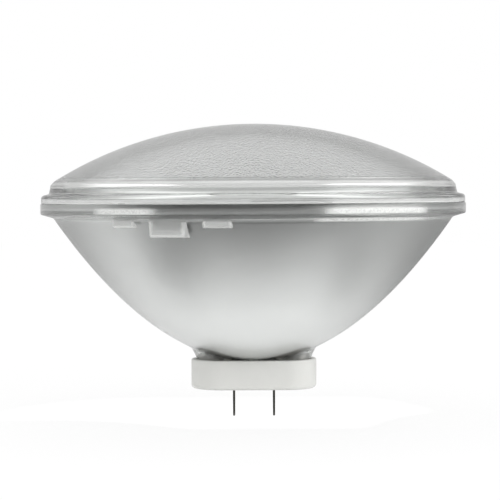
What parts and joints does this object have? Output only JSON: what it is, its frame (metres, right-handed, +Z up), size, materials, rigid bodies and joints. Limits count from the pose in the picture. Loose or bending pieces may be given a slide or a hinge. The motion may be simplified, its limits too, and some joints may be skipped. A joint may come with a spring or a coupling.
{
  "type": "sealed reflector lamp",
  "caption": "Sealed spotlight lamp with a domed stippled lens, a parabolic glass reflector and an oblong ceramic base with flat blades.",
  "frame": {"origin": "middle of the cap's flat lower face, on the lamp's optical axis", "axes": "+Z up along the optical axis through the lens, the two blades in a row along X, the middle key lug at the front (-Y) towards -X"},
  "size_m": [0.1778, 0.1778, 0.1225],
  "materials": {
    "reflector_glass": "clear pressed glass, aluminised inside the bowl",
    "lens_glass": "clear pressed glass, finely stippled inside",
    "cup_metal": "satin",
    "braze_metal": "satin",
    "post_metal": "satin",
    "solder_metal": "satin",
    "cement": "matt",
    "blade_metal": "satin plated",
    "filament_metal": "dull tungsten",
    "bridge_ceramic": "matt",
    "ceramic": "off-white, slightly glossy"
  },
  "bodies": {
    "root": {"reflector": "reflector_glass", "lens": "lens_glass", "exhaust_tube": "reflector_glass", "ferrule_left": "cup_metal", "ferrule_right": "cup_metal", "braze_left": "braze_metal", "braze_right": "braze_metal", "lead_post_left": "post_metal", "lead_post_right": "post_metal", "solder_left": "solder_metal", "solder_right": "solder_metal", "cement_left": "cement", "cement_right": "cement", "prong_left": "blade_metal", "prong_right": "blade_metal", "filament": "filament_metal", "filament_hook": "post_metal", "support_bridge": "bridge_ceramic", "ceramic_base": "ceramic"}
  },
  "joints": []
}
